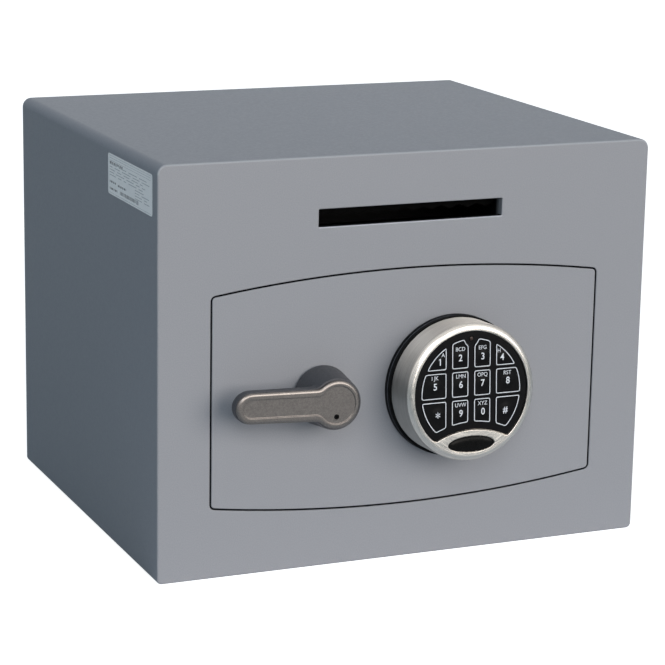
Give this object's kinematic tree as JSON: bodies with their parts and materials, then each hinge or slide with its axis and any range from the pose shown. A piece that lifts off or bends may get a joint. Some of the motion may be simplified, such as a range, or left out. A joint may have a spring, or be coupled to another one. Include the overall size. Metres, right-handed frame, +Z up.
{
  "type": "deposit drop safe",
  "caption": "Compact steel drop safe with a deposit slot, flush bowed door, lever handle, round electronic keypad and sliding locking bolts.",
  "frame": {"origin": "centre of the base footprint, on the surface that the safe stands on", "axes": "+X to the right seen from the front, +Y from the front to the back, +Z up"},
  "size_m": [0.3502, 0.3347, 0.275],
  "materials": {
    "case_paint": "satin silver-grey powder coat with a very fine texture",
    "zinc_plate": "zinc plated steel",
    "bright_steel": "ground bright steel",
    "satin_steel": "satin nickel over a turned housing, brushed round the side",
    "nickel_cast": "cast face, satin nickel plated",
    "dark_cast": "dark grey coated casting",
    "black_plastic": "black moulded plastic",
    "key_plastic": "black keys with pale outlines and legends",
    "lamp_lens": "small dark red lens",
    "circuit_board": "green solder mask",
    "battery_wrap": "plain battery wrap",
    "brass": "bare brass",
    "felt": "dark grey needle felt",
    "label_paper": "pale printed film",
    "rubber": "black rubber"
  },
  "bodies": {
    "case": {"body_shell": "case_paint", "front_frame": "case_paint", "back_panel": "case_paint", "door_stop_frame": "case_paint", "deposit_chute": "case_paint", "deposit_baffle": "case_paint", "anti_fishing_comb": "zinc_plate", "hinge_bracket_lower": "case_paint", "hinge_bracket_upper": "case_paint", "hinge_pin_lower": "bright_steel", "hinge_pin_upper": "bright_steel", "anchor_plug_floor_left": "black_plastic", "anchor_plug_floor_right": "black_plastic", "anchor_plug_back_left": "black_plastic", "anchor_plug_back_right": "black_plastic", "floor_mat": "felt", "side_label": "label_paper"},
    "door": {"door_plate": "case_paint", "door_cover": "case_paint", "cover_screw_1": "zinc_plate", "cover_screw_2": "zinc_plate", "cover_screw_3": "zinc_plate", "cover_screw_4": "zinc_plate", "hinge_arm_lower": "zinc_plate", "hinge_arm_upper": "zinc_plate", "bolt_guide": "zinc_plate", "guide_stud_1": "bright_steel", "guide_stud_2": "bright_steel", "spindle_bush": "brass", "keypad_base_ring": "rubber", "keypad_housing": "satin_steel", "keypad_faceplate": "black_plastic", "keypad_badge": "black_plastic", "keypad_lamp": "lamp_lens", "keypad_circuit_board": "circuit_board", "keypad_battery": "battery_wrap", "lock_case": "zinc_plate", "lock_solenoid": "brass", "lock_cable": "rubber"},
    "handle": {"handle_lever": "dark_cast", "handle_faceplate": "nickel_cast", "handle_face_screw": "bright_steel", "handle_spindle": "bright_steel", "drive_crank": "zinc_plate"},
    "bolt_work": {"bolt_carriage": "zinc_plate", "locking_bolt_lower": "bright_steel", "locking_bolt_upper": "bright_steel"},
    "lock_tongue": {"lock_bolt": "bright_steel"},
    "button_1": {"key_1": "key_plastic"},
    "button_2": {"key_2": "key_plastic"},
    "button_3": {"key_3": "key_plastic"},
    "button_4": {"key_4": "key_plastic"},
    "button_5": {"key_5": "key_plastic"},
    "button_6": {"key_6": "key_plastic"},
    "button_7": {"key_7": "key_plastic"},
    "button_8": {"key_8": "key_plastic"},
    "button_9": {"key_9": "key_plastic"},
    "button_0": {"key_0": "key_plastic"},
    "button_star": {"key_star": "key_plastic"},
    "button_hash": {"key_hash": "key_plastic"}
  },
  "joints": [
    {"name": "door_swing", "type": "hinge", "parent": "case", "child": "door", "pos_m": [0.158, -0.139, 0.11775], "axis": [0, 0, 1], "range_deg": [0, 100]},
    {"name": "handle_turn", "type": "hinge", "parent": "door", "child": "handle", "pos_m": [-0.06221, -0.15, 0.11775], "axis": [0, -1, 0], "range_deg": [0, 90]},
    {"name": "bolt_throw", "type": "slide", "parent": "door", "child": "bolt_work", "axis": [-1, 0, 0], "range_m": [0, 0.0155]},
    {"name": "lock_tongue_slide", "type": "slide", "parent": "door", "child": "lock_tongue", "axis": [0, 0, -1], "range_m": [0, 0.008]},
    {"name": "press_1", "type": "slide", "parent": "door", "child": "button_1", "axis": [0, 0.9986, -0.0523], "range_m": [0, 0.0009], "stiffness_N_per_m": 400},
    {"name": "press_2", "type": "slide", "parent": "door", "child": "button_2", "axis": [0, 0.9986, -0.0523], "range_m": [0, 0.0009], "stiffness_N_per_m": 400},
    {"name": "press_3", "type": "slide", "parent": "door", "child": "button_3", "axis": [0, 0.9986, -0.0523], "range_m": [0, 0.0009], "stiffness_N_per_m": 400},
    {"name": "press_4", "type": "slide", "parent": "door", "child": "button_4", "axis": [0, 0.9986, -0.0523], "range_m": [0, 0.0009], "stiffness_N_per_m": 400},
    {"name": "press_5", "type": "slide", "parent": "door", "child": "button_5", "axis": [0, 0.9986, -0.0523], "range_m": [0, 0.0009], "stiffness_N_per_m": 400},
    {"name": "press_6", "type": "slide", "parent": "door", "child": "button_6", "axis": [0, 0.9986, -0.0523], "range_m": [0, 0.0009], "stiffness_N_per_m": 400},
    {"name": "press_7", "type": "slide", "parent": "door", "child": "button_7", "axis": [0, 0.9986, -0.0523], "range_m": [0, 0.0009], "stiffness_N_per_m": 400},
    {"name": "press_8", "type": "slide", "parent": "door", "child": "button_8", "axis": [0, 0.9986, -0.0523], "range_m": [0, 0.0009], "stiffness_N_per_m": 400},
    {"name": "press_9", "type": "slide", "parent": "door", "child": "button_9", "axis": [0, 0.9986, -0.0523], "range_m": [0, 0.0009], "stiffness_N_per_m": 400},
    {"name": "press_0", "type": "slide", "parent": "door", "child": "button_0", "axis": [0, 0.9986, -0.0523], "range_m": [0, 0.0009], "stiffness_N_per_m": 400},
    {"name": "press_star", "type": "slide", "parent": "door", "child": "button_star", "axis": [0, 0.9986, -0.0523], "range_m": [0, 0.0009], "stiffness_N_per_m": 400},
    {"name": "press_hash", "type": "slide", "parent": "door", "child": "button_hash", "axis": [0, 0.9986, -0.0523], "range_m": [0, 0.0009], "stiffness_N_per_m": 400}
  ],
  "couplings": [
    {"joint": "bolt_throw", "follows": "handle_turn", "m_per_rad": 0.009867}
  ]
}
